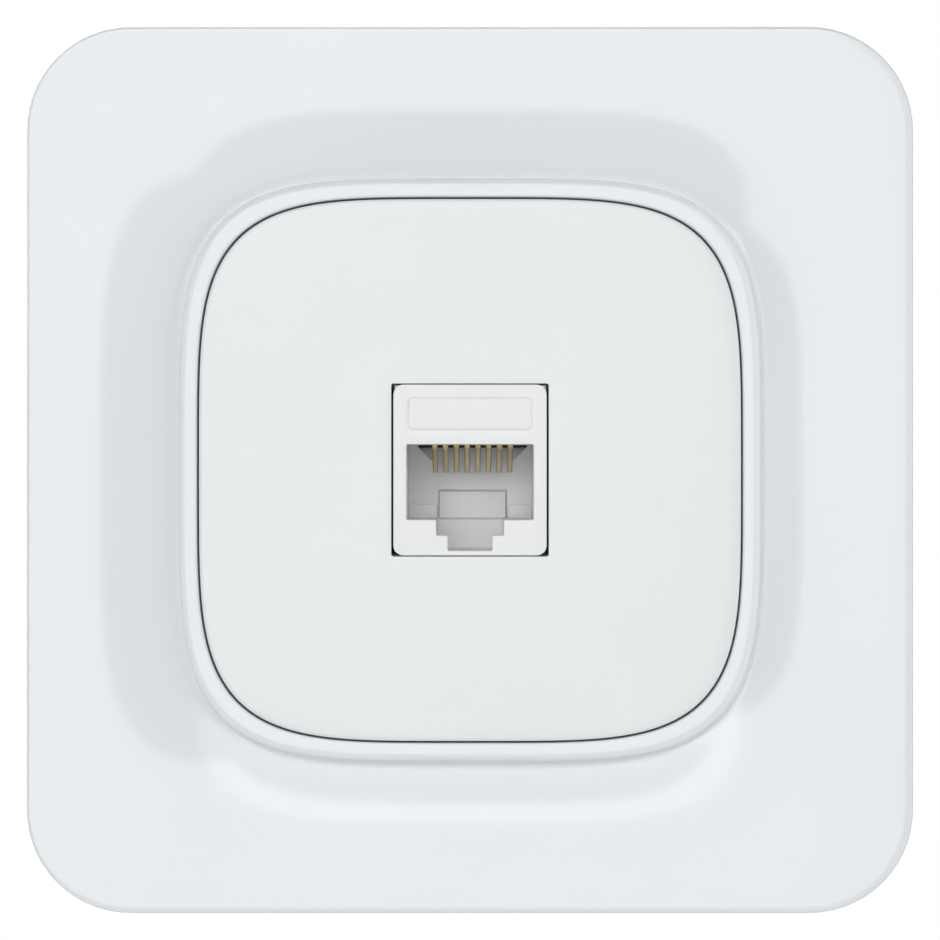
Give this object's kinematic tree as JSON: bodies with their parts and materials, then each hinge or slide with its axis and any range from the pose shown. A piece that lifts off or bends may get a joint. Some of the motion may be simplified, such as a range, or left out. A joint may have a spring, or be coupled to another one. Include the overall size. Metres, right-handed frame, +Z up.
{
  "type": "data wall socket",
  "caption": "Flush data wall socket: square dished frame, rounded-square centre plate, modular jack with spring contacts, steel mounting plate with spreading claws.",
  "frame": {"origin": "centre of the steel plate's back face, which lies in the wall plane", "axes": "+Y into the wall box, -Y out of the face towards the user, +Z up, +X to the right as seen from the front"},
  "size_m": [0.083, 0.0304, 0.083],
  "materials": {
    "frame_gloss": "high gloss, cool white",
    "plate_gloss": "gloss, cool white",
    "jack_white": "satin, neutral white",
    "carrier_plastic": "satin, pale grey",
    "insert_plastic": "satin, off-white",
    "zinc_steel": "bright zinc plated",
    "screw_steel": "zinc plated, turned",
    "gold_contact": "gold plated bronze",
    "blade_bronze": "tinned bronze",
    "board_green": "green solder resist"
  },
  "bodies": {
    "base": {"outer_frame": "frame_gloss", "centre_plate": "plate_gloss", "keystone_carrier": "carrier_plastic", "carrier_rivets": "screw_steel", "mounting_plate": "zinc_steel", "claw_pins": "screw_steel", "jack_housing": "jack_white", "contact_insert": "insert_plastic", "contact_tails": "gold_contact", "jack_pcb": "board_green", "idc_block_left": "jack_white", "idc_block_right": "jack_white", "idc_blades_left": "blade_bronze", "idc_blades_right": "blade_bronze"},
    "claw_left": {"claw_left": "zinc_steel"},
    "claw_right": {"claw_right": "zinc_steel"},
    "claw_screw_left": {"claw_screw_left": "screw_steel"},
    "claw_screw_right": {"claw_screw_right": "screw_steel"},
    "jack_latch_arm": {"jack_latch_arm": "jack_white"},
    "wire_cap_left": {"wire_cap_left": "jack_white"},
    "wire_cap_right": {"wire_cap_right": "jack_white"},
    "contact_beam_1": {"contact_beam_1": "gold_contact"},
    "contact_beam_2": {"contact_beam_2": "gold_contact"},
    "contact_beam_3": {"contact_beam_3": "gold_contact"},
    "contact_beam_4": {"contact_beam_4": "gold_contact"},
    "contact_beam_5": {"contact_beam_5": "gold_contact"},
    "contact_beam_6": {"contact_beam_6": "gold_contact"},
    "contact_beam_7": {"contact_beam_7": "gold_contact"},
    "contact_beam_8": {"contact_beam_8": "gold_contact"}
  },
  "joints": [
    {"name": "claw_screw_right_turn", "type": "hinge", "parent": "base", "child": "claw_screw_right", "pos_m": [0.025, 0, 0], "axis": [0, -1, 0], "range_deg": [0, 2311]},
    {"name": "claw_screw_left_turn", "type": "hinge", "parent": "base", "child": "claw_screw_left", "pos_m": [-0.025, 0, 0], "axis": [0, -1, 0], "range_deg": [0, 2311]},
    {"name": "claw_right_swing", "type": "hinge", "parent": "base", "child": "claw_right", "pos_m": [0.019, 0.004, 0], "axis": [0, 0, -1], "range_deg": [0, 30]},
    {"name": "claw_left_swing", "type": "hinge", "parent": "base", "child": "claw_left", "pos_m": [-0.019, 0.004, 0], "axis": [0, 0, 1], "range_deg": [0, 30]},
    {"name": "jack_latch_flex", "type": "hinge", "parent": "base", "child": "jack_latch_arm", "pos_m": [0, -0.0035, 0.0072], "axis": [-1, 0, 0], "range_deg": [0, 8], "stiffness_Nm_per_rad": 0.05},
    {"name": "wire_cap_right_pull", "type": "slide", "parent": "base", "child": "wire_cap_right", "axis": [0, 1, 0], "range_m": [0, 0.009]},
    {"name": "wire_cap_left_pull", "type": "slide", "parent": "base", "child": "wire_cap_left", "axis": [0, 1, 0], "range_m": [0, 0.009]},
    {"name": "contact_beam_1_flex", "type": "hinge", "parent": "base", "child": "contact_beam_1", "pos_m": [-0.00332, -0.00762, 0.00202], "axis": [1, 0, 0], "range_deg": [0, 11], "stiffness_Nm_per_rad": 0.002},
    {"name": "contact_beam_2_flex", "type": "hinge", "parent": "base", "child": "contact_beam_2", "pos_m": [-0.0023, -0.00762, 0.00202], "axis": [1, 0, 0], "range_deg": [0, 11], "stiffness_Nm_per_rad": 0.002},
    {"name": "contact_beam_3_flex", "type": "hinge", "parent": "base", "child": "contact_beam_3", "pos_m": [-0.00128, -0.00762, 0.00202], "axis": [1, 0, 0], "range_deg": [0, 11], "stiffness_Nm_per_rad": 0.002},
    {"name": "contact_beam_4_flex", "type": "hinge", "parent": "base", "child": "contact_beam_4", "pos_m": [-0.00027, -0.00762, 0.00202], "axis": [1, 0, 0], "range_deg": [0, 11], "stiffness_Nm_per_rad": 0.002},
    {"name": "contact_beam_5_flex", "type": "hinge", "parent": "base", "child": "contact_beam_5", "pos_m": [0.00075, -0.00762, 0.00202], "axis": [1, 0, 0], "range_deg": [0, 11], "stiffness_Nm_per_rad": 0.002},
    {"name": "contact_beam_6_flex", "type": "hinge", "parent": "base", "child": "contact_beam_6", "pos_m": [0.00176, -0.00762, 0.00202], "axis": [1, 0, 0], "range_deg": [0, 11], "stiffness_Nm_per_rad": 0.002},
    {"name": "contact_beam_7_flex", "type": "hinge", "parent": "base", "child": "contact_beam_7", "pos_m": [0.00278, -0.00762, 0.00202], "axis": [1, 0, 0], "range_deg": [0, 11], "stiffness_Nm_per_rad": 0.002},
    {"name": "contact_beam_8_flex", "type": "hinge", "parent": "base", "child": "contact_beam_8", "pos_m": [0.0038, -0.00762, 0.00202], "axis": [1, 0, 0], "range_deg": [0, 11], "stiffness_Nm_per_rad": 0.002}
  ],
  "couplings": [
    {"joint": "claw_right_swing", "follows": "claw_screw_right_turn", "ratio": 0.012976},
    {"joint": "claw_left_swing", "follows": "claw_screw_left_turn", "ratio": 0.012976}
  ]
}
